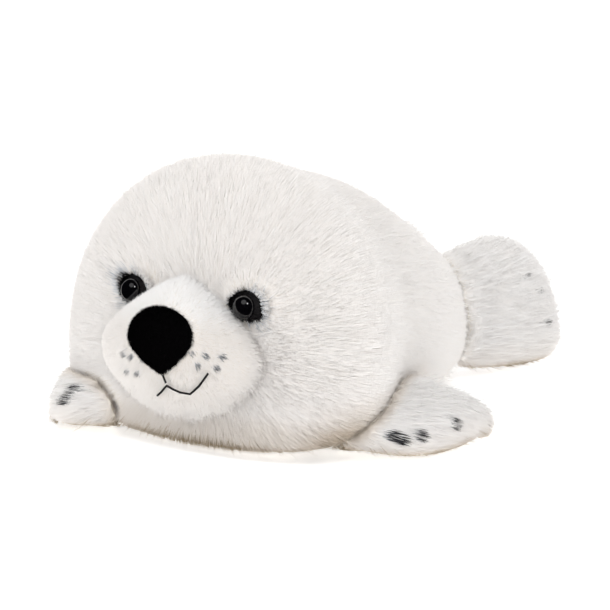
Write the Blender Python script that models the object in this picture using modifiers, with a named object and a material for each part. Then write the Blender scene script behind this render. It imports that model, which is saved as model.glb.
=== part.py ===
"""Plush seal pup lying on its belly: a stuffed fur body with a short-pile muzzle, a black plush nose,
two plastic eyes on lock washers, two embroidered mouth threads and four sewn-on flippers.
Metres, +Z up. The seal faces -Y, its left side is +X, and the floor is z = 0."""

import math

import bmesh
import bpy
from mathutils import Matrix, Vector
from mathutils.bvhtree import BVHTree

GAP = 0.0003  # between two pieces that touch

# Body sections from the face to the rump: distance behind the face, half width, bottom, top, and how
# far the top leans back.
FACE_CAP = (-0.011, 0.058, 0.014, 0.108, 0.014)
FACE = (0.003, 0.104, -0.002, 0.149, 0.014)
BROW = (0.024, 0.1285, -0.006, 0.181, 0.009)
CROWN = (0.056, 0.122, -0.006, 0.189, 0.002)
NECK = (0.094, 0.103, -0.007, 0.170, 0.0)
SHOULDER = (0.130, 0.100, -0.007, 0.167, 0.0)
BACK = (0.172, 0.088, -0.007, 0.145, 0.0)
LOIN = (0.214, 0.070, -0.006, 0.122, 0.0)
RUMP = (0.252, 0.054, -0.004, 0.103, 0.0)
RUMP_END = (0.280, 0.036, 0.006, 0.084, 0.0)
BODY_WIDEST = 0.36  # height of the widest line, as a share of each section
BODY_POINTS = 12
BODY_FULLNESS = 2.3  # superellipse power above the widest line
BODY_FLATNESS = 3.2  # and below it: the belly lies flat

# Muzzle: a short-pile dome that is sewn to the face.
MUZZLE_HALF_WIDTH = 0.062
MUZZLE_HALF_HEIGHT = 0.046
MUZZLE_DEPTH = 0.035
MUZZLE_CENTRE = (0.0, 0.000, 0.0665)
MUZZLE_TOP_NARROWING = 0.58
PHILTRUM_DEPTH = 0.007
PHILTRUM_WIDTH = 0.010
PHILTRUM_FADE = 0.020  # over which the groove runs out, above and below
PHILTRUM_LOW_END = 0.006  # below the mouth
MOUTH_ACROSS = 0.0085  # the mouth is stitched a little to the seal's left
MOUTH_HEIGHT = 0.0505
CHIN_DEPTH = 0.004
CHIN_DROP = 0.004  # from the mouth to where the chin sets back
CHIN_FADE = 0.012

# Nose: a black plush pad, broad above and pointed below.
NOSE_HALF_WIDTH = 0.0254
NOSE_HALF_HEIGHT = 0.0215
NOSE_HALF_DEPTH = 0.013
NOSE_ACROSS = 0.0029
NOSE_HEIGHT = 0.0770
NOSE_TIP_NARROWING = 0.54
NOSE_TIP_LEAN = 0.0068  # across, towards the mouth
NOSE_TIP_SETBACK = 0.010
NOSE_TIP_STRETCH = 1.22  # of the lower half, against the upper
NOSE_SEAT_DEPTH = 0.004  # of its middle, behind the face of the muzzle

# Eyes: plastic domes with a shank through the fabric, held by a lock washer inside.
EYE_SPACING = 0.088
EYE_HEIGHT = 0.0975
EYE_RADIUS = 0.0075
EYE_DOME_HEIGHT = 0.0060
SHANK_RADIUS = 0.0028
SHANK_LENGTH = 0.016
WASHER_RADIUS = 0.0095
WASHER_THICKNESS = 0.0022
WASHER_DEPTH = 0.0095  # from the fabric's face to the washer
PATCH_HALF_WIDTH = 0.0140
PATCH_HALF_HEIGHT = 0.0098
PATCH_RISE = 0.0012  # of its middle, above the eye's
PATCH_THICKNESS = 0.0030
DOME_STEPS = 6

# Mouth threads on the muzzle. The lip's points are across and up from the middle of the mouth.
THREAD_RADIUS = 0.0007
LIP_POINTS = ((-0.0120, -0.0092), (-0.0080, -0.0060), (-0.0035, -0.0022), (0.0, 0.0), (0.0050, -0.0014),
              (0.0100, -0.0024), (0.0160, -0.0028), (0.0200, 0.0), (0.0238, 0.0036), (0.0298, 0.0114))
PHILTRUM_RISE = 0.0018  # from the mouth to the thread's low end
PHILTRUM_TUCK = 0.0062  # how far its top runs up behind the tip of the nose
PHILTRUM_LEAN = -0.0022  # of its top, across

# Front flippers, from their root out: distance, half width, bottom, top, lean.
FRONT_FLIPPER = ((-0.026, 0.036, 0.004, 0.046, 0.0), (0.0, 0.044, 0.001, 0.050, 0.0),
                 (0.026, 0.048, -0.002, 0.048, 0.0), (0.044, 0.049, -0.004, 0.043, 0.0),
                 (0.060, 0.046, -0.003, 0.036, 0.0), (0.070, 0.037, 0.001, 0.027, 0.0))
# How the two soft flippers happen to lie: root sideways and back, turn to the rear, and how far the end
# shifts to the rear for each unit of length.
LEFT_FLIPPER_ROOT = (0.073, 0.066)
LEFT_FLIPPER_TURN = math.radians(-8)
LEFT_FLIPPER_SWEEP = 0.50
RIGHT_FLIPPER_ROOT = (-0.058, 0.046)
RIGHT_FLIPPER_TURN = math.radians(-33)
RIGHT_FLIPPER_SWEEP = 0.0

# Hind flippers stand on edge, from their root back: distance, half thickness, bottom, top, lean.
HIND_FLIPPER = ((-0.012, 0.012, 0.010, 0.092, 0.0), (0.012, 0.014, 0.000, 0.098, 0.0),
                (0.038, 0.016, -0.003, 0.106, 0.0), (0.062, 0.016, -0.003, 0.103, 0.0),
                (0.080, 0.014, 0.000, 0.090, 0.0), (0.092, 0.009, 0.012, 0.066, 0.0))
HIND_FLIPPER_ROOT = (0.049, 0.254)
HIND_FLIPPER_SPLAY = math.radians(21)
HIND_FLIPPER_LEAN = math.radians(20)
FLIPPER_POINTS = 10


def clear_scene():
    for obj in list(bpy.data.objects):
        bpy.data.objects.remove(obj)


def material(name, colour, roughness, coat=0.0):
    made = bpy.data.materials.new(name)
    made.use_nodes = True
    shader = made.node_tree.nodes["Principled BSDF"]
    shader.inputs["Base Color"].default_value = (*colour, 1.0)
    shader.inputs["Roughness"].default_value = roughness
    shader.inputs["Coat Weight"].default_value = coat
    return made


def add_object(name, bm, finish, collection):
    """The bmesh as a smooth-shaded object with its faces pointing out."""
    bmesh.ops.recalc_face_normals(bm, faces=bm.faces)
    mesh = bpy.data.meshes.new(name)
    bm.to_mesh(mesh)
    bm.free()
    mesh.shade_smooth()
    obj = bpy.data.objects.new(name, mesh)
    mesh.materials.append(finish)
    collection.objects.link(obj)
    return obj


def add_section(bm, station, points, widest, powers):
    """One closed ring across +Y, and its edges."""
    along, half_width, bottom, top, lean = station
    middle = bottom + widest * (top - bottom)
    verts = bmesh.ops.create_circle(bm, segments=points, radius=1.0)["verts"]
    for vert in verts:
        across, up = vert.co.x, vert.co.y
        reach, power = (top - middle, powers[0]) if up >= 0.0 else (middle - bottom, powers[1])
        roundness = (abs(across) ** power + abs(up) ** power) ** (1.0 / power)
        height = middle + reach * up / roundness
        slope = lean * (height - bottom) / (top - bottom)
        vert.co = Vector((half_width * across / roundness, along + slope, height))
    ring = set(verts)
    return [edge for edge in bm.edges if edge.verts[0] in ring and edge.verts[1] in ring]


def loft(name, stations, points, finish, collection, widest=0.5, powers=(2.4, 2.4), levels=2):
    """A soft closed form through the sections: a coarse cage with Subdivision Surface."""
    bm = bmesh.new()
    rings = [add_section(bm, station, points, widest, powers) for station in stations]
    for first, second in zip(rings, rings[1:]):
        bmesh.ops.bridge_loops(bm, edges=first + second)
    for ring in (rings[0], rings[-1]):
        bmesh.ops.contextual_create(bm, geom=ring)
    obj = add_object(name, bm, finish, collection)
    subdivide(obj, levels)
    return obj


def subdivide(obj, levels):
    rounding = obj.modifiers.new("rounding", "SUBSURF")
    rounding.levels = rounding.render_levels = levels


def grown_copy(obj, amount, cutters):
    """The object's finished form, larger by amount all round, as a hidden cutter."""
    graph = bpy.context.evaluated_depsgraph_get()
    mesh = bpy.data.meshes.new_from_object(obj.evaluated_get(graph))
    mesh.transform(obj.matrix_world)
    copy = bpy.data.objects.new(obj.name + "_seat", mesh)
    cutters.objects.link(copy)
    grow = copy.modifiers.new("clearance", "DISPLACE")
    grow.mid_level = 0.0
    grow.strength = amount
    hide(copy)
    return copy


def hide(obj):
    obj.hide_render = True
    obj.display_type = "WIRE"


def cut(obj, cutter):
    boolean = obj.modifiers.new("cut_" + cutter.name, "BOOLEAN")
    boolean.operation = "DIFFERENCE"
    boolean.object = cutter


def surface_tree(obj):
    bpy.context.view_layer.update()
    return BVHTree.FromObject(obj, bpy.context.evaluated_depsgraph_get())


def front_point(tree, across, up):
    """Where a line along +Y first meets the surface, and the normal there."""
    point, normal, _, _ = tree.ray_cast(Vector((across, -1.0, up)), Vector((0.0, 1.0, 0.0)))
    return point, normal


def floor_flat(obj):
    """Trims what sags below the floor, so that the belly and flippers lie flat on it."""
    bpy.context.view_layer.update()
    size = 1.0
    bm = bmesh.new()
    bmesh.ops.create_cube(bm, size=size)
    bmesh.ops.translate(bm, verts=bm.verts, vec=(0.0, 0.0, -size / 2))
    mesh = bpy.data.meshes.new(obj.name + "_floor")
    bm.to_mesh(mesh)
    bm.free()
    block = bpy.data.objects.new(obj.name + "_floor", mesh)
    bpy.data.collections["cutters"].objects.link(block)
    hide(block)
    cut(obj, block)


def make_body(finish, seal):
    stations = (FACE_CAP, FACE, BROW, CROWN, NECK, SHOULDER, BACK, LOIN, RUMP, RUMP_END)
    body = loft("body", stations, BODY_POINTS, finish, seal, BODY_WIDEST,
                (BODY_FULLNESS, BODY_FLATNESS))
    floor_flat(body)
    return body


def window(value, low, high, fade):
    """1 between low and high, falling to 0 over the fade at each end."""
    inside = min(value - low, high - value) / fade + 0.5
    share = min(1.0, max(0.0, inside))
    return share * share * (3.0 - 2.0 * share)


def make_muzzle(finish, seal):
    """A dome with two puffed cheeks: a groove under the nose, and a chin set back below the mouth."""
    bm = bmesh.new()
    bmesh.ops.create_uvsphere(bm, u_segments=36, v_segments=24, radius=1.0)
    for vert in bm.verts:
        vert.co.x *= MUZZLE_HALF_WIDTH * (1.0 - MUZZLE_TOP_NARROWING * max(0.0, vert.co.z) ** 1.6)
        vert.co.y *= MUZZLE_DEPTH
        vert.co.z *= MUZZLE_HALF_HEIGHT
        vert.co += Vector(MUZZLE_CENTRE)
        if vert.co.y < MUZZLE_CENTRE[1]:
            groove = math.exp(-(vert.co.x / PHILTRUM_WIDTH) ** 2)
            groove *= window(vert.co.z, MOUTH_HEIGHT - PHILTRUM_LOW_END, NOSE_HEIGHT, PHILTRUM_FADE)
            below = window(vert.co.z, -1.0, MOUTH_HEIGHT - CHIN_DROP, CHIN_FADE)
            vert.co.y += PHILTRUM_DEPTH * groove + CHIN_DEPTH * below
    bmesh.ops.triangulate(bm, faces=bm.faces)
    return add_object("muzzle", bm, finish, seal)


def make_nose(muzzle_tree, finish, seal):
    centre, _ = front_point(muzzle_tree, NOSE_ACROSS, NOSE_HEIGHT)
    bm = bmesh.new()
    bmesh.ops.create_uvsphere(bm, u_segments=24, v_segments=16, radius=1.0)
    for vert in bm.verts:
        drop = min(1.0, max(0.0, -vert.co.z))
        vert.co.x *= NOSE_HALF_WIDTH * (1.0 - NOSE_TIP_NARROWING * drop ** 1.3)
        vert.co.x += NOSE_TIP_LEAN * drop ** 2
        vert.co.y = vert.co.y * NOSE_HALF_DEPTH + NOSE_TIP_SETBACK * drop ** 2
        vert.co.z *= NOSE_HALF_HEIGHT * (NOSE_TIP_STRETCH if vert.co.z < 0.0 else 1.0)
        vert.co += centre + Vector((0.0, NOSE_SEAT_DEPTH, 0.0))
    return add_object("nose", bm, finish, seal)


def turned(name, profile, steps, finish, collection):
    """A solid turned about its own +Z, from a profile of (radius, height) with both ends on the axis."""
    bm = bmesh.new()
    verts = [bm.verts.new((radius, 0.0, height)) for radius, height in profile]
    edges = [bm.edges.new(pair) for pair in zip(verts, verts[1:])]
    bmesh.ops.spin(bm, geom=verts + edges, cent=(0, 0, 0), axis=(0, 0, 1),
                   angle=2 * math.pi, steps=steps, use_merge=True)
    bmesh.ops.remove_doubles(bm, verts=bm.verts, dist=1e-6)
    return add_object(name, bm, finish, collection)


def eye_frame(point, normal):
    """The matrix whose +Z looks out of the eye, with its origin on the fabric."""
    across = Vector((0.0, 0.0, 1.0)).cross(normal).normalized()
    turn = Matrix((across, normal.cross(across), normal)).transposed()
    return Matrix.Translation(point) @ turn.to_4x4()


def make_eye(side_name, side, body, muzzle, body_tree, finishes, seal, cutters):
    """One eye with its plush patch, shank and washer. The body and patch are bored to take them."""
    place = eye_frame(*front_point(body_tree, side * EYE_SPACING / 2, EYE_HEIGHT))
    seat = PATCH_THICKNESS + GAP

    turns = [math.radians(90 * step / DOME_STEPS) for step in range(1, DOME_STEPS + 1)]
    arc = [(EYE_RADIUS * math.sin(turn), seat + EYE_DOME_HEIGHT * math.cos(turn)) for turn in turns]
    shank = [(SHANK_RADIUS, seat), (SHANK_RADIUS, -SHANK_LENGTH), (0.0, -SHANK_LENGTH)]
    profile = [(0.0, seat + EYE_DOME_HEIGHT)] + arc + shank
    eye = turned("eye_" + side_name, profile, 24, finishes["eye"], seal)

    low = -WASHER_DEPTH - WASHER_THICKNESS
    bore = SHANK_RADIUS + GAP
    ring = [(bore, -WASHER_DEPTH), (WASHER_RADIUS, -WASHER_DEPTH), (WASHER_RADIUS, low), (bore, low),
            (bore, -WASHER_DEPTH)]
    washer = turned("eye_washer_" + side_name, ring, 20, finishes["washer"], seal)

    bm = bmesh.new()
    bmesh.ops.create_uvsphere(bm, u_segments=20, v_segments=10, radius=1.0)
    bmesh.ops.scale(bm, verts=bm.verts, vec=(PATCH_HALF_WIDTH, PATCH_HALF_HEIGHT, PATCH_THICKNESS))
    bmesh.ops.translate(bm, verts=bm.verts, vec=(0.0, PATCH_RISE, 0.0))
    patch = add_object("eye_patch_" + side_name, bm, finishes["nose"], seal)

    room = [(0.0, 2 * seat), (bore, 2 * seat), (bore, -WASHER_DEPTH + GAP),
            (WASHER_RADIUS + GAP, -WASHER_DEPTH + GAP), (WASHER_RADIUS + GAP, low - GAP),
            (bore, low - GAP), (bore, -SHANK_LENGTH - GAP), (0.0, -SHANK_LENGTH - GAP)]
    socket = turned("eye_socket_" + side_name, room, 24, finishes["washer"], cutters)
    hide(socket)
    for obj in (eye, washer, patch, socket):
        obj.matrix_world = place
    bpy.context.view_layer.update()
    patch_room = grown_copy(patch, GAP, cutters)
    cut(body, patch_room)
    cut(muzzle, patch_room)
    cut(muzzle, grown_copy(eye, GAP, cutters))
    cut(body, socket)
    cut(patch, socket)
    return [eye, washer, patch]


def make_thread(name, points, muzzle_tree, finish, seal):
    """A stitch: a tube that follows the muzzle's face."""
    curve = bpy.data.curves.new(name, "CURVE")
    curve.dimensions = "3D"
    curve.bevel_depth = THREAD_RADIUS
    curve.bevel_resolution = 2
    curve.use_fill_caps = True
    line = []
    for across, up in points:
        point, normal = front_point(muzzle_tree, across, up)
        line.append(point + normal * (THREAD_RADIUS + 2 * GAP))
    spline = curve.splines.new("POLY")
    spline.points.add(len(line) - 1)
    for target, point in zip(spline.points, line):
        target.co = (*point, 1.0)
    thread = bpy.data.objects.new(name, curve)
    curve.materials.append(finish)
    seal.objects.link(thread)
    return thread


def mouth_lines():
    """The two threads' points, across and up. The upright one ends under the nose."""
    lip = [(MOUTH_ACROSS + across, MOUTH_HEIGHT + up) for across, up in LIP_POINTS]
    low = MOUTH_HEIGHT + PHILTRUM_RISE
    high = NOSE_HEIGHT - NOSE_HALF_HEIGHT * NOSE_TIP_STRETCH + PHILTRUM_TUCK
    line = [(MOUTH_ACROSS + PHILTRUM_LEAN * share, low + (high - low) * share) for share in (0.0, 0.5, 1.0)]
    return lip, line


def make_flipper(name, stations, sweep, place, body_seat, finish, seal):
    flipper = loft(name, stations, FLIPPER_POINTS, finish, seal)
    for vert in flipper.data.vertices:
        vert.co.x += sweep * vert.co.y
    flipper.matrix_world = place
    bpy.context.view_layer.update()
    cut(flipper, body_seat)
    floor_flat(flipper)
    return flipper


def turn_back(side, angle):
    """Turns +Y towards the seal's side, then back by the angle."""
    return Matrix.Rotation(-side * (math.radians(90) - angle), 4, "Z")


def centre_on_floor(parts, seal):
    """Moves everything so that the origin is under the middle of the whole seal."""
    graph = bpy.context.evaluated_depsgraph_get()
    low, high = Vector((9.0, 9.0, 9.0)), Vector((-9.0, -9.0, -9.0))
    for obj in parts:
        shape = obj.evaluated_get(graph)
        for vert in shape.to_mesh().vertices:
            point = obj.matrix_world @ vert.co
            low = Vector(map(min, low, point))
            high = Vector(map(max, high, point))
        shape.to_mesh_clear()
    origin = bpy.data.objects.new("seal_origin", None)
    seal.objects.link(origin)
    for obj in list(bpy.data.objects):
        if obj is not origin:
            obj.parent = origin
    origin.location = (-(low.x + high.x) / 2, -(low.y + high.y) / 2, -low.z)
    bpy.context.view_layer.update()


def main():
    clear_scene()
    seal = bpy.data.collections.new("plush_seal")
    cutters = bpy.data.collections.new("cutters")
    for collection in (seal, cutters):
        bpy.context.scene.collection.children.link(collection)
    finishes = {
        "fur": material("white_long_pile", (0.86, 0.84, 0.81), 0.95),
        "muzzle": material("white_short_pile", (0.90, 0.89, 0.86), 0.9),
        "nose": material("black_plush", (0.006, 0.005, 0.006), 0.9),
        "eye": material("black_plastic", (0.010, 0.011, 0.012), 0.08, coat=0.5),
        "washer": material("white_plastic", (0.75, 0.75, 0.72), 0.45),
        "thread": material("black_thread", (0.012, 0.011, 0.012), 0.7),
    }
    body = make_body(finishes["fur"], seal)
    body_tree = surface_tree(body)
    body_seat = grown_copy(body, GAP, cutters)
    muzzle = make_muzzle(finishes["muzzle"], seal)
    muzzle_tree = surface_tree(muzzle)
    muzzle_seat = grown_copy(muzzle, GAP, cutters)
    nose = make_nose(muzzle_tree, finishes["nose"], seal)
    parts = [body, muzzle, nose]
    front_poses = {"left": (LEFT_FLIPPER_ROOT, LEFT_FLIPPER_TURN, LEFT_FLIPPER_SWEEP),
                   "right": (RIGHT_FLIPPER_ROOT, RIGHT_FLIPPER_TURN, RIGHT_FLIPPER_SWEEP)}
    for side_name, side in (("left", 1), ("right", -1)):
        parts += make_eye(side_name, side, body, muzzle, body_tree, finishes, seal, cutters)
        root, turn, sweep = front_poses[side_name]
        place = Matrix.Translation((*root, 0.0)) @ turn_back(side, turn)
        parts.append(make_flipper("front_flipper_" + side_name, FRONT_FLIPPER, -side * sweep, place,
                                  body_seat, finishes["fur"], seal))
        root = Vector((side * HIND_FLIPPER_ROOT[0], HIND_FLIPPER_ROOT[1], 0.0))
        place = Matrix.Translation(root) @ Matrix.Rotation(-side * HIND_FLIPPER_SPLAY, 4, "Z")
        place = place @ Matrix.Rotation(-side * HIND_FLIPPER_LEAN, 4, "Y")
        parts.append(make_flipper("hind_flipper_" + side_name, HIND_FLIPPER, 0.0, place, body_seat,
                                  finishes["fur"], seal))
    cut(muzzle, body_seat)
    cut(nose, muzzle_seat)
    for name, points in zip(("lip_thread", "philtrum_thread"), mouth_lines()):
        parts.append(make_thread(name, points, muzzle_tree, finishes["thread"], seal))
    centre_on_floor(parts, seal)


main()
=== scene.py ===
import math

import bmesh
import bpy
import numpy as np
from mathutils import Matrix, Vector
from mathutils.bvhtree import BVHTree
from mathutils.kdtree import KDTree


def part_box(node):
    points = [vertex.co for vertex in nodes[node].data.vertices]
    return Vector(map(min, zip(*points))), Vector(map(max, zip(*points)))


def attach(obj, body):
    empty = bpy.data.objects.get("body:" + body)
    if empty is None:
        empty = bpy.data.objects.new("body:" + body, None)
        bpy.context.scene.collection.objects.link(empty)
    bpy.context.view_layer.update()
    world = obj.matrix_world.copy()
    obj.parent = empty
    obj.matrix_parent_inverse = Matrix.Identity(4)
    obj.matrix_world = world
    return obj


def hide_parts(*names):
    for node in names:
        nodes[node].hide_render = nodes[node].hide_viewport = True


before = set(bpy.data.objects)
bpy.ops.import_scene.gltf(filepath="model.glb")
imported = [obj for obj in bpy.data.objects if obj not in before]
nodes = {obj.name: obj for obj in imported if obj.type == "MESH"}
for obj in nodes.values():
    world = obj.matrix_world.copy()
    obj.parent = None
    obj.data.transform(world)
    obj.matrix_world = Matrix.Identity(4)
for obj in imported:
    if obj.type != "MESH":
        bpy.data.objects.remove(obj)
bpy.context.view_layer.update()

scene = bpy.context.scene
bakeMap = "OFBake"


def srgb(code):
    parts = [int(code[i:i + 2], 16) / 255 for i in (1, 3, 5)]
    return tuple(c / 12.92 if c <= 0.04045 else ((c + 0.055) / 1.055) ** 2.4 for c in parts) + (1.0,)


def smooth(value, low, high):
    share = np.clip((value - low) / (high - low), 0.0, 1.0)
    return share * share * (3.0 - 2.0 * share)


def unit(vectors):
    return vectors / np.maximum(np.linalg.norm(vectors, axis=-1, keepdims=True), 1e-9)


# Where things are
def middle(node):
    low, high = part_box(node)
    return (low + high) / 2


eyeLeft, eyeRight = middle("eye_left"), middle("eye_right")
muzzleMid = middle("muzzle")
# The face's plane lies this far behind the muzzle's front.
muzzleReach = 0.0328
face = Vector((muzzleMid.x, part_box("muzzle")[0].y + muzzleReach, 0.0))
print("frame loaded")

# Camera, light and floor
view = {"azimuth": 35.0, "elevation": 12.4, "distance": 1.4, "metresPerPixel": 0.00062,
        "target": face + Vector((0.0, 0.0, 0.100)), "targetPixel": (185.5, 296.0), "half": 305.0,
        "sensor": 36.0, "far": 60.0}


def makeCamera():
    a, e = math.radians(view["azimuth"]), math.radians(view["elevation"])
    back = Vector((math.sin(a) * math.cos(e), -math.cos(a) * math.cos(e), math.sin(e)))
    right = Vector((math.cos(a), math.sin(a), 0.0))
    up = back.cross(right)
    scale = view["metresPerPixel"]
    aim = (view["target"] + right * (view["half"] - view["targetPixel"][0]) * scale
           + up * (view["targetPixel"][1] - view["half"]) * scale)
    data = bpy.data.cameras.new("camera")
    data.sensor_width = view["sensor"]
    data.lens = data.sensor_width * view["distance"] / (2 * view["half"] * scale)
    data.clip_end = view["far"]
    camera = bpy.data.objects.new("camera", data)
    camera.location = aim + back * view["distance"]
    camera.rotation_euler = (-back).to_track_quat("-Z", "Y").to_euler()
    scene.collection.objects.link(camera)
    scene.camera = camera


light = {"world": 1.20, "keySize": 1.2, "keyPower": 4.6, "keyPlace": (0.05, -1.05, 1.4),
         "backSize": 1.4, "backPower": 3.5, "backPlace": (-0.9, 1.5, 0.9),
         "sparkSize": 0.36, "sparkPower": 5.0, "sparkPlace": (0.95, -0.85, 1.26),
         "aimHeight": 0.08, "floorSize": 40.0, "floor": "#f7f7f7", "floorRoughness": 0.9,
         "floorGlow": 0.46}


def makeLight():
    world = bpy.data.worlds.new("studio")
    scene.world = world
    world.use_nodes = True
    sky = world.node_tree.nodes["Background"]
    sky.inputs["Color"].default_value = (1.0, 1.0, 1.0, 1.0)
    sky.inputs["Strength"].default_value = light["world"]
    # The bright room isn't mirrored in polished surfaces.
    world.cycles_visibility.glossy = False
    for name in ("key", "back", "spark"):
        lamp = bpy.data.lights.new(name, "AREA")
        lamp.shape = "DISK"
        lamp.size = light[name + "Size"]
        lamp.energy = light[name + "Power"]
        lampObject = bpy.data.objects.new(name, lamp)
        lampObject.location = light[name + "Place"]
        away = lampObject.location - Vector((0.0, face.y, light["aimHeight"]))
        lampObject.rotation_euler = away.to_track_quat("Z", "Y").to_euler()
        scene.collection.objects.link(lampObject)
    scene.view_settings.view_transform = "Standard"


def makeFloor():
    bm = bmesh.new()
    bmesh.ops.create_grid(bm, x_segments=1, y_segments=1, size=light["floorSize"] / 2)
    mesh = bpy.data.meshes.new("floor")
    bm.to_mesh(mesh)
    bm.free()
    floor = bpy.data.objects.new("floor", mesh)
    scene.collection.objects.link(floor)
    # Matt white acrylic sheet with light under it, so that it looks pure white.
    paint = bpy.data.materials.new("acrylic_sheet_lit")
    paint.use_nodes = True
    shader = paint.node_tree.nodes["Principled BSDF"]
    shader.inputs["Base Color"].default_value = srgb(light["floor"])
    shader.inputs["Roughness"].default_value = light["floorRoughness"]
    shader.inputs["Emission Color"].default_value = (1.0, 1.0, 1.0, 1.0)
    shader.inputs["Emission Strength"].default_value = light["floorGlow"]
    mesh.materials.append(paint)
    floor.visible_glossy = False


makeCamera()
makeLight()
makeFloor()
print("stage made")

# Materials


def addNode(tree, kind, links=(), **settings):
    node = tree.nodes.new(kind)
    for key, value in settings.items():
        if key.startswith("in_"):
            node.inputs[int(key[3:])].default_value = value
        else:
            setattr(node, key, value)
    for source, target in links:
        tree.links.new(source, node.inputs[target])
    return node


def newMaterial(name):
    made = bpy.data.materials.new(name)
    made.use_nodes = True
    return made, made.node_tree, made.node_tree.nodes["Principled BSDF"]


# Strand colour over the bake map's width: brown at the floor, for dust and painted shade, cream, white,
# then grey and black spray.
pileStops = ((0.00, "#9c8a6c"), (0.20, "#ddd2c4"), (0.42, "#f1ece6"), (0.60, "#fbf8f5"),
             (0.72, "#ffffff"), (0.78, "#dde1e6"), (0.84, "#8b8e94"), (0.90, "#373436"),
             (1.00, "#0b090a"))


def pileMaterial(name, stops, finish):
    made, tree, shader = newMaterial(name)
    place = addNode(tree, "ShaderNodeUVMap", uv_map=bakeMap)
    axes = addNode(tree, "ShaderNodeSeparateXYZ", [(place.outputs["UV"], 0)])
    ramp = addNode(tree, "ShaderNodeValToRGB", [(axes.outputs["X"], 0)])
    marks = ramp.color_ramp.elements
    marks[0].position, marks[0].color = stops[0][0], srgb(stops[0][1])
    marks[1].position, marks[1].color = stops[-1][0], srgb(stops[-1][1])
    for position, code in stops[1:-1]:
        marks.new(position).color = srgb(code)
    # Each strand is painted darker towards its root: painted shade.
    depth = addNode(tree, "ShaderNodeMapRange", [(axes.outputs["Y"], 0)], in_1=0.0,
                    in_2=finish["shadeTo"], in_3=finish["rootShade"], in_4=1.0)
    shade = addNode(tree, "ShaderNodeMix", [(ramp.outputs["Color"], 6), (depth.outputs[0], 7)],
                    data_type="RGBA", blend_type="MULTIPLY", in_0=1.0)
    tree.links.new(shade.outputs[2], shader.inputs["Base Color"])
    shader.inputs["Roughness"].default_value = finish["roughness"]
    shader.inputs["Specular IOR Level"].default_value = finish["specular"]
    shader.inputs["Sheen Weight"].default_value = finish["sheen"]
    shader.inputs["Sheen Roughness"].default_value = finish["sheenRoughness"]
    glow = addNode(tree, "ShaderNodeBsdfTranslucent", [(shade.outputs[2], "Color")])
    both = addNode(tree, "ShaderNodeMixShader", [(shader.outputs[0], 1), (glow.outputs[0], 2)],
                   in_0=finish["through"])
    tree.links.new(both.outputs[0], tree.nodes["Material Output"].inputs["Surface"])
    return made


def mottled(name, dark, bright, look):
    # A material with the light and dark of a knit, a moulding or a twisted thread.
    made, tree, shader = newMaterial(name)
    place = addNode(tree, "ShaderNodeTexCoord")
    cloud = addNode(tree, "ShaderNodeTexNoise", [(place.outputs["Object"], 0)])
    cloud.inputs["Scale"].default_value = 1000 / look["spotMm"]
    cloud.inputs["Detail"].default_value = look["detail"]
    ramp = addNode(tree, "ShaderNodeValToRGB", [(cloud.outputs[0], 0)])
    ramp.color_ramp.elements[0].color = srgb(dark)
    ramp.color_ramp.elements[0].position = look["low"]
    ramp.color_ramp.elements[1].color = srgb(bright)
    ramp.color_ramp.elements[1].position = look["high"]
    tree.links.new(ramp.outputs["Color"], shader.inputs["Base Color"])
    shader.inputs["Roughness"].default_value = look["roughness"]
    shader.inputs["Specular IOR Level"].default_value = look["specular"]
    return made


# White acrylic pile, heat-set so that it stands in soft tufts; sprayed grey and black in places.
whiteFinish = {"rootShade": 0.97, "shadeTo": 0.55, "roughness": 0.85, "specular": 0.25,
               "sheen": 0.12, "sheenRoughness": 0.5, "through": 0.5}
whitePile = pileMaterial("acrylic_pile_white", pileStops, whiteFinish)
# The knitted backing between the tufts, matt and a little darker than the pile. Its loops are about
# 1 mm and are drawn three times as coarse, so that they show.
knit = {"spotMm": 3.125, "detail": 3.0, "low": 0.3, "high": 0.7,
        "roughness": 0.95, "specular": 0.1}
whiteBacking = mottled("knit_backing_white", "#ebe5dc", "#f6f2ec", knit)
# Short black pile of the nose and the patches round the eyes.
blackStops = ((0.0, "#2c2a2b"), (0.4, "#1d1b1c"), (0.7, "#070507"), (1.0, "#020102"))
blackFinish = dict(whiteFinish, rootShade=0.6, specular=0.03, sheen=0.0, through=0.0)
blackPile = pileMaterial("acrylic_pile_black", blackStops, blackFinish)
# The knitted backing under the black pile, dyed almost black.
blackBacking = mottled("knit_backing_black", "#020202", "#040304", knit)


# Skins: the fabric under the pile


def applied(obj):
    graph = bpy.context.evaluated_depsgraph_get()
    mesh = bpy.data.meshes.new_from_object(obj.evaluated_get(graph))
    obj.modifiers.clear()
    obj.data = mesh


def coordinates(mesh):
    places = np.empty(len(mesh.vertices) * 3)
    mesh.vertices.foreach_get("co", places)
    return places.reshape(-1, 3)


def vertexNormals(mesh):
    found = np.empty(len(mesh.vertices) * 3)
    mesh.vertex_normals.foreach_get("vector", found)
    return found.reshape(-1, 3)


def treeOf(mesh):
    return BVHTree.FromPolygons([v.co for v in mesh.vertices], [p.vertices for p in mesh.polygons])


# How far from a neighbour the inset starts and is full, and how far a tuck under one reaches.
seams = {"merge": 1e-5, "insetFrom": 0.001, "insetFull": 0.014,
         "tuckFull": 0.0005, "tuckTo": 0.008, "limit": 0.02}


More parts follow.
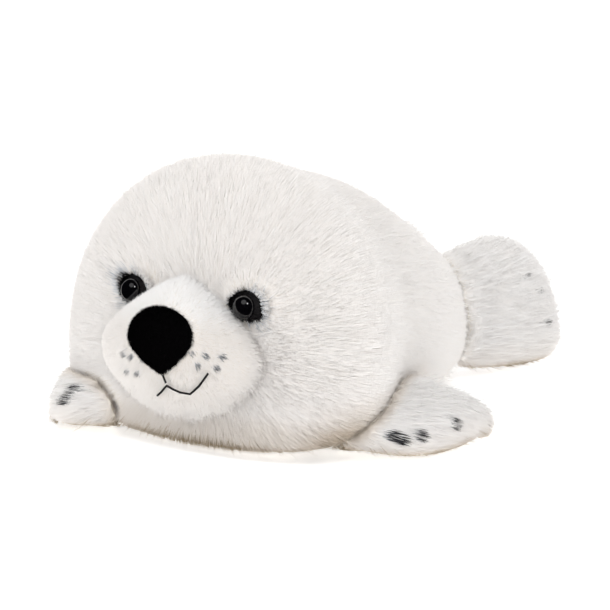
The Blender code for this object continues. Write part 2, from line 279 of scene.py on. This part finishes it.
def makeSkin(node, name, make, neighbour=None, under=None):
    bm = bmesh.new()
    bm.from_mesh(nodes[node].data)
    bmesh.ops.remove_doubles(bm, verts=bm.verts, dist=seams["merge"])
    mesh = bpy.data.meshes.new(name)
    bm.to_mesh(mesh)
    bm.free()
    skin = bpy.data.objects.new(name, mesh)
    scene.collection.objects.link(skin)
    if make.get("voxel"):
        remesh = skin.modifiers.new("remesh", "REMESH")
        remesh.mode = "VOXEL"
        remesh.voxel_size = make["voxel"]
        applied(skin)
    mesh = skin.data
    places, normals = coordinates(mesh), vertexNormals(mesh)
    inset = np.full(len(places), make["inset"])
    if neighbour is not None:
        far = np.array([neighbour.find_nearest(Vector(p))[3] for p in places])
        inset *= smooth(far, seams["insetFrom"], seams["insetFull"])
    if under is not None:
        near = distances(places, under, seams["limit"])
        inset += make["tuck"] * (1 - smooth(near, seams["tuckFull"], seams["tuckTo"]))
    places -= normals * inset[:, None]
    places[:, 2] = np.maximum(places[:, 2], make["lowest"])
    mesh.vertices.foreach_set("co", places.ravel())
    mesh.update()
    if make.get("puff"):
        puff(skin, make["puff"], make["lowest"])
    if make.get("voxel"):
        finish = skin.modifiers.new("rounding", "SUBSURF")
        finish.levels = finish.render_levels = 1
        applied(skin)
    skin.data.shade_smooth()
    skin.data.materials.clear()
    skin.data.materials.append(make["material"])
    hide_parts(node)
    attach(skin, "root")
    return skin


def evened(mesh, moved, rounds):
    # The pile hides the fabric's small creases, so only its broad swelling is kept.
    ends = np.empty(len(mesh.edges) * 2, np.int32)
    mesh.edges.foreach_get("vertices", ends)
    members = np.bincount(ends, minlength=len(moved))[:, None]
    near, far = ends.reshape(-1, 2).T
    for _ in range(rounds):
        sums = np.zeros_like(moved)
        np.add.at(sums, near, moved[far])
        np.add.at(sums, far, moved[near])
        moved = (moved + sums / members) / 2
    return moved


filling = {"quality": 5, "mass": 0.15, "pressure": 4.0, "stretch": 12.0, "bend": 0.8,
           "frames": 20, "rounds": 12}


def puff(skin, cap, lowest):
    # The filling presses the fabric out: a short cloth run with pressure.
    before = coordinates(skin.data)
    cloth = skin.modifiers.new("filling", "CLOTH")
    settings = cloth.settings
    settings.quality = filling["quality"]
    settings.mass = filling["mass"]
    settings.use_pressure = True
    settings.uniform_pressure_force = filling["pressure"]
    settings.effector_weights.gravity = 0.0
    settings.tension_stiffness = settings.compression_stiffness = filling["stretch"]
    settings.bending_stiffness = filling["bend"]
    for step in range(1, filling["frames"] + 1):
        scene.frame_set(step)
    applied(skin)
    scene.frame_set(1)
    after = coordinates(skin.data)
    moved = evened(skin.data, after - before, filling["rounds"])
    far = np.linalg.norm(moved, axis=1, keepdims=True)
    places = before + moved * np.minimum(1.0, cap / np.maximum(far, 1e-9))
    places[:, 2] = np.maximum(places[:, 2], lowest)
    skin.data.vertices.foreach_set("co", places.ravel())
    skin.data.update()


# Pile: strands as strips of mesh
bladeNarrowing = 0.25


def makeBlade(lengths):
    # One strand: a flat strip, a little narrower halfway and pointed at the end.
    bm = bmesh.new()
    bmesh.ops.create_grid(bm, x_segments=1, y_segments=lengths, size=0.5)
    for vert in bm.verts:
        vert.co.y += 0.5
        vert.co.x *= 1.0 - bladeNarrowing * vert.co.y
    tip = [vert for vert in bm.verts if vert.co.y > 0.9]
    bmesh.ops.pointmerge(bm, verts=tip, merge_co=(0.0, 1.0, 0.0))
    mesh = bpy.data.meshes.new("blade")
    bm.to_mesh(mesh)
    bm.free()
    return {"places": coordinates(mesh), "loops": np.array([loop.vertex_index for loop in mesh.loops]),
            "starts": np.array([polygon.loop_start for polygon in mesh.polygons])}


blades = {"bent": makeBlade(2), "straight": makeBlade(1)}
# Square centimetres in a square metre: density counts strands on one.
squareCm = 1e4


def roots(skin, perSquareCm, rng):
    # Where strands stand: evenly sown over the skin, with its normal there.
    mesh = skin.data
    mesh.calc_loop_triangles()
    corners = np.empty(len(mesh.loop_triangles) * 3, np.int32)
    mesh.loop_triangles.foreach_get("vertices", corners)
    corners = corners.reshape(-1, 3)
    areas = np.empty(len(corners), np.float32)
    mesh.loop_triangles.foreach_get("area", areas)
    total = np.cumsum(areas.astype(float))
    count = int(total[-1] * squareCm * perSquareCm)
    where = np.searchsorted(total, (np.arange(count) + rng.random(count)) * total[-1] / count)
    where = np.minimum(where, len(corners) - 1)
    a, b = rng.random(count), rng.random(count)
    over = a + b > 1
    a[over], b[over] = 1 - a[over], 1 - b[over]
    share = np.stack([1 - a - b, a, b], 1)[:, :, None]
    places, normals = coordinates(mesh), vertexNormals(mesh)
    return (places[corners[where]] * share).sum(1), unit((normals[corners[where]] * share).sum(1))


def nearest(points, centres):
    tree = KDTree(len(centres))
    for index, centre in enumerate(centres):
        tree.insert(centre, index)
    tree.balance()
    return np.array([tree.find(point)[1] for point in points])


# A neighbour's face lies flat on the skin when their normals point this much against each other.
flatFacing = -0.8


def covered(points, normals, tree, distance):
    # True where a neighbour within the distance lies flat on the skin.
    found = np.zeros(len(points), bool)
    for index, (point, normal) in enumerate(zip(points, normals)):
        hit = tree.find_nearest(Vector(point), distance)
        found[index] = hit[0] is not None and hit[1].dot(Vector(normal)) < flatFacing
    return found


def distances(points, tree, limit):
    # How far each point is from a surface, up to the limit.
    hits = [tree.find_nearest(Vector(point), limit)[3] for point in points]
    return np.array([limit if hit is None else hit for hit in hits])


# What all strands share: the spread of length and the shortest kept, the thinner pile under the
# belly, how straight one can stand, the gap to a sewn neighbour, how much of the gathering its middle
# takes, the clearance over the floor, the spread of twist and width, and the ends of the tone.
growth = {"unevenLow": 0.4, "unevenHigh": 1.6, "shortest": 0.08,
          "bellyHeight": 0.006, "bellyFacing": -0.8, "bellyShare": 0.3,
          "standing": 0.85, "coverGap": 0.0015, "bend": 0.35,
          "floor": 0.0004, "floorSpread": 0.0012, "twist": 0.55, "widthFrom": 0.75, "widthSpread": 0.5,
          "toneLow": 0.012, "toneHigh": 0.988, "toneAcross": 0.02}


def growPile(name, skin, pile, comb, tone, reach=None, covers=(), lift=None):
    rng = np.random.default_rng(pile["seed"])
    start, normal = roots(skin, pile["density"], rng)
    length = pile["length"] * np.clip(1 + pile["uneven"] * rng.standard_normal(len(start)),
                                      growth["unevenLow"], growth["unevenHigh"])
    if reach is not None:
        length *= reach(start, normal)
    keep = length > pile["length"] * growth["shortest"]
    belly = (start[:, 2] < growth["bellyHeight"]) & (normal[:, 2] < growth["bellyFacing"])
    keep &= ~belly | (rng.random(len(start)) < growth["bellyShare"])
    lie = unit(comb(start, normal))
    lie -= normal * (lie * normal).sum(1, keepdims=True)
    # Where the comb points off the surface, the pile falls instead.
    along = np.linalg.norm(lie, axis=1, keepdims=True)
    fall = np.array([0.0, 0.0, -1.0]) + normal * normal[:, 2:]
    lie += fall * (1 - np.minimum(2 * along, 1.0))
    lie /= np.maximum(np.linalg.norm(lie, axis=1, keepdims=True), 0.5)
    for tree in covers:
        surface = start + normal * pile["inset"] + lie * pile["overlap"]
        keep &= ~covered(surface, normal, tree, growth["coverGap"])
    start, normal, length, lie = start[keep], normal[keep], length[keep], lie[keep]
    count = len(start)
    area = count / pile["density"] / squareCm
    centres = rng.choice(count, max(4, int(area / pile["tuft"] ** 2)), replace=False)
    tuft = nearest(start, start[centres]) if pile["sway"] + pile["gather"] > 0 else np.zeros(count, int)
    tufts = tuft.max() + 1
    sway = rng.standard_normal((tufts, 3)) * pile["sway"]
    loose = rng.standard_normal((count, 3)) * pile["loose"]
    stand = np.zeros((count, 1)) if lift is None else lift(start)[:, None]
    rise = pile["rise"] + (growth["standing"] - pile["rise"]) * stand
    tipRise = pile["tipRise"] + (growth["standing"] - pile["tipRise"]) * stand
    low = unit(normal * rise + lie * (1 - rise) + loose * 0.5 + sway[tuft] * 0.5)
    high = unit(normal * tipRise + lie * (1 - tipRise) + loose + sway[tuft])
    half = start + low * length[:, None] * 0.5
    end = half + high * length[:, None] * 0.5
    sums = np.zeros((tufts, 3))
    np.add.at(sums, tuft, end)
    members = np.bincount(tuft, minlength=tufts)[:, None]
    gather = ((sums / np.maximum(members, 1))[tuft] - end) * pile["gather"]
    end = end + gather
    half = half + gather * growth["bend"]
    for part in (half, end):
        part[:, 2] = np.maximum(part[:, 2], growth["floor"] + growth["floorSpread"] * rng.random(count))
    run = unit(end - start)
    across = unit(unit(np.cross(run, normal)) + growth["twist"] * rng.standard_normal((count, 3)))
    across = unit(across - run * (across * run).sum(1, keepdims=True))
    across *= np.where((np.cross(across, run) * normal).sum(1, keepdims=True) < 0, -1.0, 1.0)
    facing = unit(np.cross(across, run))
    shading = unit(normal * (1 - pile["crisp"]) + facing * pile["crisp"])

    blade = blades[pile["blade"]]
    bladePlaces, bladeLoops, bladeStarts = blade["places"], blade["loops"], blade["starts"]
    along = bladePlaces[:, 1][None, :, None]
    side = bladePlaces[:, 0][None, :, None]
    line = ((1 - along) ** 2 * start[:, None] + 2 * along * (1 - along) * half[:, None]
            + along ** 2 * end[:, None])
    width = pile["width"] * (growth["widthFrom"] + growth["widthSpread"] * rng.random(count))
    places = line + across[:, None] * side * width[:, None, None]
    colour = np.clip(tone(start, end, tuft, rng), growth["toneLow"], growth["toneHigh"])

    strand = np.arange(count)[:, None]
    corners = len(bladeLoops)
    loopVerts = (strand * len(bladePlaces) + bladeLoops[None, :]).ravel()
    starts = (strand * corners + bladeStarts[None, :]).ravel()
    uv = np.empty((count, corners, 2), np.float32)
    # Sprayed pile takes the colour on its tips, so a strand's root stays paler.
    rootColour = np.minimum(colour, pile["palest"])
    acrossBlade, alongBlade = bladePlaces[bladeLoops, 0][None, :], bladePlaces[bladeLoops, 1][None, :]
    uv[:, :, 0] = (rootColour[:, None] + (colour - rootColour)[:, None] * alongBlade
                   + acrossBlade * growth["toneAcross"])
    uv[:, :, 1] = alongBlade
    mesh = bpy.data.meshes.new(name)
    mesh.vertices.add(count * len(bladePlaces))
    mesh.vertices.foreach_set("co", places.ravel().astype(np.float32))
    mesh.loops.add(len(loopVerts))
    mesh.loops.foreach_set("vertex_index", loopVerts.astype(np.int32))
    mesh.polygons.add(len(starts))
    mesh.polygons.foreach_set("loop_start", starts.astype(np.int32))
    mesh.update(calc_edges=True)
    layer = mesh.uv_layers.new(name=bakeMap)
    layer.uv.foreach_set("vector", uv.ravel())
    mesh.shade_smooth()
    mesh.normals_split_custom_set_from_vertices(np.repeat(shading, len(bladePlaces), axis=0))
    mesh.materials.append(pile["material"])
    fur = bpy.data.objects.new(name, mesh)
    scene.collection.objects.link(fur)
    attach(fur, "root")
    print(name, count, "strands", len(mesh.polygons) + count * (len(bladeStarts) - 1), "triangles")


def shareOut(name, skin, pile, parts, comb, tone, reach=None, covers=(), lift=None):
    # Several sowings of the same pile, so that none is too heavy a piece.
    for part in range(parts):
        sown = dict(pile, density=pile["density"] / parts, seed=pile["seed"] + 100 * part)
        growPile(f"{name}_{part + 1}", skin, sown, comb, tone, reach, covers, lift)


def sprayed(p, marks, inner, outer, rng):
    # Which strands a dab of colour reaches: all of them in its middle, fewer towards its edge.
    far = np.min([np.linalg.norm(p - np.array(mark), axis=1) for mark in marks], axis=0)
    return rng.random(len(p)) > smooth(far, inner, outer)


# The body
trees = {node: treeOf(nodes[node].data) for node in nodes}
# Tones on the pile's colour ramp.
tones = {"dustAndShade": 0.02, "plain": 0.64, "whitest": 0.71, "grey": 0.79, "dark": 0.925, "black": 0.97}
bodyMake = {"voxel": 0.006, "inset": 0.0034, "lowest": 0.0015, "puff": 0.0014, "fill": 0.85,
            "material": whiteBacking, "slot": "white_long_pile"}
bodySkin = makeSkin("body", "body_skin", bodyMake)
print("body skin made")

bodyPile = {"density": 270, "length": 0.0100, "uneven": 0.10, "width": 0.00050, "rise": 0.30,
            "tipRise": 0.30, "loose": 0.05, "sway": 0.0, "tuft": 0.0065, "gather": 0.0, "crisp": 0.0,
            "seed": 11, "inset": bodyMake["inset"], "overlap": 0.006, "palest": 1.0, "blade": "straight",
            "material": whitePile, "slot": "white_long_pile"}
wispPile = dict(bodyPile, density=8, length=0.0130, uneven=0.25, rise=0.55, tipRise=0.34, loose=0.09,
                sway=0.06, gather=0.35, width=0.00030, blade="bent", seed=12)
# Half size of the plush patch and how far its middle lies over the eye's.
patchRoom = {"across": 0.0135, "up": 0.0092, "rise": 0.0012}
# Outline of the dark pile round each eye: outwards and up from the eye.
darkShapes = {"left": ((-0.0165, -0.0010), (-0.0110, 0.0050), (-0.0050, 0.0093), (0.0020, 0.0090),
                       (0.0088, 0.0048), (0.0110, -0.0020), (0.0118, -0.0086), (0.0050, -0.0084),
                       (-0.0050, -0.0084), (-0.0110, -0.0060)),
              "right": ((0.0215, 0.0062), (0.0160, 0.0100), (0.0090, 0.0092), (0.0000, 0.0088),
                        (-0.0080, 0.0060), (-0.0120, 0.0000), (-0.0070, -0.0072), (0.0030, -0.0084),
                        (0.0105, -0.0080), (0.0140, -0.0035))}
# The face ends this far back, and what lies past it counts as far from the eyes.
faceDepth, farAway = 0.04, 9.0


def besideEye(p, side):
    # Outwards and up from the eye on that side.
    eye = eyeLeft if side == "left" else eyeRight
    return (p[:, 0] - eye.x) * (1 if side == "left" else -1), p[:, 2] - eye.z


def patchDistance(p):
    # How far from the nearer eye, as a share of the room that its patch takes.
    shares = []
    for side in darkShapes:
        out, up = besideEye(p, side)
        shares.append(np.hypot(out / patchRoom["across"], (up - patchRoom["rise"]) / patchRoom["up"]))
    return np.where(p[:, 1] < face.y + faceDepth, np.min(shares, axis=0), farAway)


def darkDistance(p):
    # The same, as a share of the dark shape round that eye.
    shares = []
    for side, shape in darkShapes.items():
        shape = np.array(shape)
        centre = shape.mean(0)
        points = shape - centre
        angles = np.degrees(np.arctan2(points[:, 1], points[:, 0]))
        out, up = besideEye(p, side)
        out, up = out - centre[0], up - centre[1]
        reach = np.interp(np.degrees(np.arctan2(up, out)), angles, np.hypot(points[:, 0], points[:, 1]),
                          period=360)
        shares.append(np.hypot(out, up) / reach)
    return np.where(p[:, 1] < face.y + faceDepth, np.min(shares, axis=0), farAway)


# The comb: from a point before the face outwards, from the first depth to the second turning
# backwards, and round the eyes away from them.
bodyComb = {"before": 0.02, "faceFrom": 0.02, "faceTo": 0.11, "back": (0.0, 1.0, -0.35),
            "eyeFrom": 1.2, "eyeTo": 2.2, "eyeStrength": 1.6}


def combBody(p, n):
    # Pile runs out from the muzzle over the face, then back and a little down along the body.
    fromNose = unit(p - np.array([face.x, face.y - bodyComb["before"], muzzleMid.z]))
    onFace = 1 - smooth(p[:, 1] - face.y, bodyComb["faceFrom"], bodyComb["faceTo"])
    lie = fromNose * onFace[:, None] + np.array(bodyComb["back"]) * (1 - onFace)[:, None]
    eye = np.where(p[:, 0:1] > face.x, np.array(eyeLeft), np.array(eyeRight))
    around = 1 - smooth(patchDistance(p), bodyComb["eyeFrom"], bodyComb["eyeTo"])
    return lie + bodyComb["eyeStrength"] * unit(p - eye) * around[:, None]


# Shorter pile on what lies on the floor, near the floor, and close to the eye patches.
shorter = {"underFrom": 0.55, "underFull": 0.9, "height": 0.012, "fade": 0.006, "under": 0.75,
           "floor": 0.45, "floorFrom": 0.003, "floorTo": 0.018,
           "patch": 0.96, "eye": 0.5, "eyeFrom": 1.0, "eyeTo": 2.2}


def underneath(p, n):
    # 1 where the skin faces the floor and is close to it.
    facing = smooth(-n[:, 2], shorter["underFrom"], shorter["underFull"])
    return facing * smooth(shorter["height"] - p[:, 2], 0.0, shorter["fade"])


def floorReach(p):
    # Pile that would lie out over the floor is shorter.
    above = smooth(p[:, 2], shorter["floorFrom"], shorter["floorTo"])
    return shorter["floor"] + (1 - shorter["floor"]) * above


def reachBody(p, n):
    far = patchDistance(p)
    beside = shorter["eye"] + (1 - shorter["eye"]) * smooth(far, shorter["eyeFrom"], shorter["eyeTo"])
    return (far > shorter["patch"]) * beside * (1 - shorter["under"] * underneath(p, n)) * floorReach(p)


bodyCovers = [trees[node] for node in ("muzzle", "front_flipper_left", "front_flipper_right",
                                       "hind_flipper_left", "hind_flipper_right")]
bodyLift = {"share": 0.16, "from": 0.004, "to": 0.018, "limit": 0.03}


def seamDistance(p):
    return np.min([distances(p, tree, bodyLift["limit"]) for tree in bodyCovers], axis=0)


def liftBody(p):
    # The pile stands up round the muzzle and the flippers, and so fills their seams.
    return bodyLift["share"] * (1 - smooth(seamDistance(p), bodyLift["from"], bodyLift["to"]))


# How much dust and painted shade take off the tone, and the heights between which they fade out: low and
# lowest everywhere, then beside the left front flipper, and on the chest.
dustAndPaintedShade = {"tuftSpread": 0.01, "spread": 0.02, "low": 0.08, "lowTo": 0.030,
        "lowest": 0.62, "lowestFrom": 0.0025, "lowestTo": 0.0105,
        "flipper": 0.32, "flipperHeight": 0.055, "flipperLimit": 0.04, "flipperNear": 0.006,
        "flipperFar": 0.034, "flipperFrom": 0.020, "flipperTo": 0.052,
        "chest": 0.13, "chestFront": 0.06, "chestBack": 0.16, "chestFrom": 0.016, "chestTo": 0.034}


def plainTone(tips, tuft, rng):
    # White, and darker and browner towards the floor: dust and painted shade.
    base = (tones["plain"] + dustAndPaintedShade["tuftSpread"] * rng.standard_normal(tuft.max() + 1)[tuft]
            + dustAndPaintedShade["spread"] * rng.standard_normal(len(tips)))
    low = 1 - smooth(tips[:, 2], 0.0, dustAndPaintedShade["lowTo"])
    lowest = 1 - smooth(tips[:, 2], dustAndPaintedShade["lowestFrom"], dustAndPaintedShade["lowestTo"])
    return np.clip(base - dustAndPaintedShade["low"] * low - dustAndPaintedShade["lowest"] * lowest, tones["dustAndShade"], tones["whitest"])


# The spray round the eyes, as shares of the dark shape's reach: dark inside it, and a grey haze
# round it that goes further on the outer side.
haze = {"darkFrom": 0.85, "darkTo": 1.12, "share": 0.35, "outer": 1.9, "inner": 1.4, "spread": 0.01}


def toneBody(p, tips, tuft, rng):
    far = darkDistance(tips)
    chance = rng.random(len(p))
    plain = plainTone(tips, tuft, rng)
    # Low beside the left front flipper and on the chest under the muzzle the pile is darker: dust and
    # painted shade.
    low = tips[:, 2] < dustAndPaintedShade["flipperHeight"]
    beside = distances(tips[low], trees["front_flipper_left"], dustAndPaintedShade["flipperLimit"])
    plain[low] -= (dustAndPaintedShade["flipper"] * (1 - smooth(beside, dustAndPaintedShade["flipperNear"], dustAndPaintedShade["flipperFar"]))
                   * (1 - smooth(tips[low, 2], dustAndPaintedShade["flipperFrom"], dustAndPaintedShade["flipperTo"])))
    chest = 1 - smooth(tips[:, 1] - face.y, dustAndPaintedShade["chestFront"], dustAndPaintedShade["chestBack"])
    plain -= dustAndPaintedShade["chest"] * chest * (1 - smooth(tips[:, 2], dustAndPaintedShade["chestFrom"], dustAndPaintedShade["chestTo"]))
    plain = np.maximum(plain, tones["dustAndShade"])
    outer = np.abs(tips[:, 0] - face.x) > eyeLeft.x - face.x
    hazeTo = np.where(outer, haze["outer"], haze["inner"])
    thin = haze["share"] + (1 - haze["share"]) * smooth(far, 1.0, hazeTo)
    grey = np.where(chance > thin, tones["grey"], plain)
    dark = chance > smooth(far, haze["darkFrom"], haze["darkTo"])
    return np.where(dark, tones["dark"], grey) + haze["spread"] * rng.standard_normal(len(p))


shareOut("body_pile", bodySkin, bodyPile, 3, combBody, toneBody, reachBody, bodyCovers, liftBody)
growPile("body_wisps", bodySkin, wispPile, combBody, toneBody, reachBody, bodyCovers, liftBody)

# The muzzle
muzzleMake = {"voxel": 0.004, "inset": 0.0020, "tuck": 0.0040, "lowest": 0.0015, "fill": 0.8,
              "material": whiteBacking, "slot": "white_short_pile"}
muzzleSkin = makeSkin("muzzle", "muzzle_skin", muzzleMake, under=trees["body"])
muzzlePile = dict(bodyPile, density=420, length=0.0040, uneven=0.12, width=0.00040, rise=0.5, loose=0.12,
                  seed=31, inset=muzzleMake["inset"], overlap=0.0025, palest=tones["grey"],
                  slot="white_short_pile")
# Places of the sprayed whisker dots on the muzzle: across, behind the face and up.
whiskers = ((0.0290, -0.0303, 0.0722), (0.0378, -0.0270, 0.0713), (0.0469, -0.0219, 0.0709),
            (0.0330, -0.0294, 0.0644), (0.0442, -0.0241, 0.0635), (-0.0270, -0.0312, 0.0642),
            (-0.0200, -0.0326, 0.0633), (-0.0104, -0.0319, 0.0630), (-0.0251, -0.0299, 0.0525),
            (-0.0161, -0.0308, 0.0525))
whiskerMarks = [face + Vector(place) for place in whiskers]
noseMid = middle("nose")
# The muzzle's pile is painted whiter on its top, over the nose: painted light, where light from above
# falls. Whisker dots are full inside their first radius and fade out at the second.
muzzleTone = {"low": 0.62, "paintedLight": 0.08, "from": 0.080, "to": 0.100, "spread": 0.02,
              "dot": 0.89, "dotFull": 0.0007, "dotEdge": 0.0032}
# Pile length by the distance to the face's seam, to the nose and to the stitches.
muzzleReachBy = {"limit": 0.02, "seamFull": 0.003, "seamTo": 0.014, "seam": 1.3, "noseFrom": 0.0005,
                 "noseTo": 0.006, "nose": 0.35, "stitchFrom": 0.0011, "stitchTo": 0.0030,
                 "stitchLimit": 0.01}
combDown = 0.01


def combMuzzle(p, n):
    # Outwards from the nose and a little down.
    return p - np.array([noseMid.x, noseMid.y, noseMid.z]) + np.array([0.0, 0.0, -combDown])


def toneMuzzle(p, tips, tuft, rng):
    # Painted light: whiter towards the muzzle's top.
    paintedTopLight = smooth(tips[:, 2], muzzleTone["from"], muzzleTone["to"])
    base = (muzzleTone["low"] + muzzleTone["paintedLight"] * paintedTopLight
            + muzzleTone["spread"] * rng.standard_normal(len(p)))
    dotted = sprayed(tips, whiskerMarks, muzzleTone["dotFull"], muzzleTone["dotEdge"], rng)
    dots = muzzleTone["dot"] + muzzleTone["spread"] * rng.standard_normal(len(p))
    return np.where(dotted, dots, np.clip(base, tones["dustAndShade"], tones["whitest"]))


def reachMuzzle(p, n):
    # Longer over the seam to the face, shorter beside the nose and clear of the mouth's stitches.
    by = muzzleReachBy
    seam = 1 - smooth(distances(p, trees["body"], by["limit"]), by["seamFull"], by["seamTo"])
    beside = smooth(distances(p, trees["nose"], by["limit"]), by["noseFrom"], by["noseTo"])
    thread = np.minimum(distances(p, trees["lip_thread"], by["stitchLimit"]),
                        distances(p, trees["philtrum_thread"], by["stitchLimit"]))
    stitch = smooth(thread, by["stitchFrom"], by["stitchTo"])
    return (1 + by["seam"] * seam) * (by["nose"] + (1 - by["nose"]) * beside) * stitch


growPile("muzzle_pile", muzzleSkin, muzzlePile, combMuzzle, toneMuzzle, reachMuzzle,
         [trees["nose"], trees["body"]])

# Nose and eye patches
noseMake = {"inset": 0.0003, "lowest": 0.0015, "fill": 0.9, "material": blackBacking,
            "slot": "black_plush"}
noseSkin = makeSkin("nose", "nose_skin", noseMake)
nosePile = dict(bodyPile, density=500, length=0.0021, uneven=0.2, width=0.00036, rise=0.7, loose=0.25,
                crisp=0.3, seed=41, inset=noseMake["inset"], material=blackPile, slot="black_plush")
patchMake = dict(noseMake, inset=0.0005)
patchPile = dict(nosePile, length=0.0030, density=450, rise=0.6, tipRise=0.5, seed=51)
edgePile = dict(bodyPile, length=0.0046, density=450, width=0.00042, rise=0.5, tipRise=0.4, loose=0.15,
                seed=52, inset=patchMake["inset"])
# Middle and spread of the tone on the black ramp, for the nose and for the patches.
blackTones = {"nose": (0.82, 0.06), "patch": (0.22, 0.12)}
noseComb = (0.0, 0.05, -1.0)
# From here on outwards, as a share of the dark shape, the patch's pile is white.
edgeFrom = 0.96


def downwards(p, n):
    return np.tile(noseComb, (len(p), 1))


def toneBlack(p, tips, tuft, rng):
    return blackTones["nose"][0] + blackTones["nose"][1] * rng.standard_normal(len(p))


def toneCharcoal(p, tips, tuft, rng):
    return blackTones["patch"][0] + blackTones["patch"][1] * rng.standard_normal(len(p))


growPile("nose_pile", noseSkin, nosePile, downwards, toneBlack)
for sideName, eye in (("left", eyeLeft), ("right", eyeRight)):
    patchSkin = makeSkin("eye_patch_" + sideName, "eye_patch_skin_" + sideName, patchMake)

    def fromEye(p, n, eye=eye):
        return p - np.array(eye)

    def overDome(p, n, eye=eye):
        # The dark pile leans in over the rim of the dome.
        return np.array(eye) - p

    def insideDark(p, n):
        return (darkDistance(p) < 1.0).astype(float)

    def outsideDark(p, n):
        return (darkDistance(p) >= edgeFrom).astype(float)

    growPile("eye_patch_pile_" + sideName, patchSkin, patchPile, overDome, toneCharcoal, insideDark)
    growPile("eye_patch_edge_" + sideName, patchSkin, edgePile, fromEye, toneBody, outsideDark)

# Flippers
flipperPile = dict(bodyPile, palest=0.80, seed=71)
flipperWisps = {"front": dict(wispPile, density=14, length=0.0155, palest=0.80, seed=72),
                "hind": dict(wispPile, density=28, length=0.0155, palest=0.80, seed=72)}
flipperMake = {"voxel": 0.005, "inset": 0.0032, "lowest": 0.0012, "puff": 0.0010, "fill": 0.5,
               "material": whiteBacking, "slot": "white_long_pile"}
# Which way the pile lies on each flipper.
flipperCombs = {"front_flipper_left": (1.0, 0.35, -0.15), "front_flipper_right": (-1.0, -0.7, -0.15),
                "hind_flipper_left": (0.36, 1.0, 0.1), "hind_flipper_right": (-0.36, 1.0, 0.1)}
# Pile at a flipper's root is shorter in the seam, and darker there on the front ones: soil and painted
# shade.
flipperRoot = {"reach": 0.45, "reachFrom": 0.001, "reachTo": 0.009, "limit": 0.02,
               "soilAndShade": 0.28, "soilAndShadeFull": 0.002, "soilAndShadeTo": 0.014, "soilAndShadeLimit": 0.04}
# The flippers' pile is a little lighter, painted light against the body's shade, and spreads at random.
flipperTone = {"paintedLight": 0.02, "spread": 0.01}
# Black spray on the ends of the toes: across, behind the face and up.
claws = {"front_flipper_left": ((0.1312, 0.0452, 0.0196), (0.1345, 0.0474, 0.0174),
                                 (0.1398, 0.0590, 0.0183), (0.1457, 0.0878, 0.0204)),
         "front_flipper_right": ((-0.0865, -0.0132, 0.0298), (-0.0885, -0.0189, 0.0240),
                                 (-0.1120, 0.0000, 0.0200)),
         "hind_flipper_left": ((0.0640, 0.3206, 0.0668), (0.0708, 0.3281, 0.0552),
                               (0.0783, 0.3274, 0.0326))}
claws["hind_flipper_right"] = [(-across, behind, up)
                               for across, behind, up in claws["hind_flipper_left"]]
# How far the spray reaches: full inside the first radius, none past the second.
clawSize = {"front": (0.0036, 0.0050), "hind": (0.0020, 0.0036)}


def reachFlipper(p, n):
    near = smooth(distances(p, trees["body"], flipperRoot["limit"]), flipperRoot["reachFrom"],
                  flipperRoot["reachTo"])
    root = flipperRoot["reach"] + (1 - flipperRoot["reach"]) * near
    return (1 - shorter["under"] * underneath(p, n)) * root * floorReach(p)


for node, towards in flipperCombs.items():
    skin = makeSkin(node, node + "_skin", flipperMake, trees["body"])
    marks = [face + Vector(place) for place in claws[node]]
    end = node.split("_")[0]

    def combFlipper(p, n, towards=towards):
        return np.tile(towards, (len(p), 1))

    def toneFlipper(p, tips, tuft, rng, marks=marks, end=end):
        black = sprayed(tips, marks, clawSize[end][0], clawSize[end][1], rng)
        # Painted light: the flippers' pile a little lighter.
        plain = plainTone(tips, tuft, rng) + flipperTone["paintedLight"]
        if end == "front":
            # Darker close to the body: soil and painted shade in the seam.
            near = distances(tips, trees["body"], flipperRoot["soilAndShadeLimit"])
            pastSeam = smooth(near, flipperRoot["soilAndShadeFull"], flipperRoot["soilAndShadeTo"])
            plain -= flipperRoot["soilAndShade"] * (1 - pastSeam)
        claw = tones["black"] + flipperTone["spread"] * rng.standard_normal(len(p))
        return np.where(black, claw, np.clip(plain, tones["dustAndShade"], tones["whitest"]))

    growPile(node + "_pile", skin, flipperPile, combFlipper, toneFlipper, reachFlipper, [trees["body"]])
    growPile(node + "_wisps", skin, flipperWisps[end], combFlipper, toneFlipper, reachFlipper,
             [trees["body"]])
print("flippers made")

# Eyes and threads
# Black plastic dome of a safety eye, moulded smooth and shiny: an even black with a sharp glint.
plastic = {"spotMm": 5.5556, "detail": 2.0, "low": 0.0, "high": 1.0,
           "roughness": 0.03, "specular": 0.5}
eyePlastic = mottled("plastic_black_polished", "#020203", "#060507", plastic)
# Black embroidery thread, matt, with the light and dark of its twist every half millimetre or so.
thread = dict(plastic, spotMm=0.55556, roughness=0.7)
threadCotton = mottled("thread_black", "#060506", "#262325", thread)
smoothing = {"merge": 1e-6, "sharpAngle": 50}


def smoothCopy(node, finish):
    # The node's loose triangles joined into one smooth surface.
    bm = bmesh.new()
    bm.from_mesh(nodes[node].data)
    bmesh.ops.remove_doubles(bm, verts=bm.verts, dist=smoothing["merge"])
    mesh = bpy.data.meshes.new(node + "_finished")
    bm.to_mesh(mesh)
    bm.free()
    mesh.shade_smooth()
    mesh.set_sharp_from_angle(angle=math.radians(smoothing["sharpAngle"]))
    mesh.materials.append(finish)
    copy = bpy.data.objects.new(node + "_finished", mesh)
    scene.collection.objects.link(copy)
    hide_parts(node)
    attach(copy, "root")


for node, finish, slot in (("eye_left", eyePlastic, "black_plastic"),
                           ("eye_right", eyePlastic, "black_plastic"),
                           ("lip_thread", threadCotton, "black_thread"),
                           ("philtrum_thread", threadCotton, "black_thread")):
    smoothCopy(node, finish)
print("eyes and threads made")
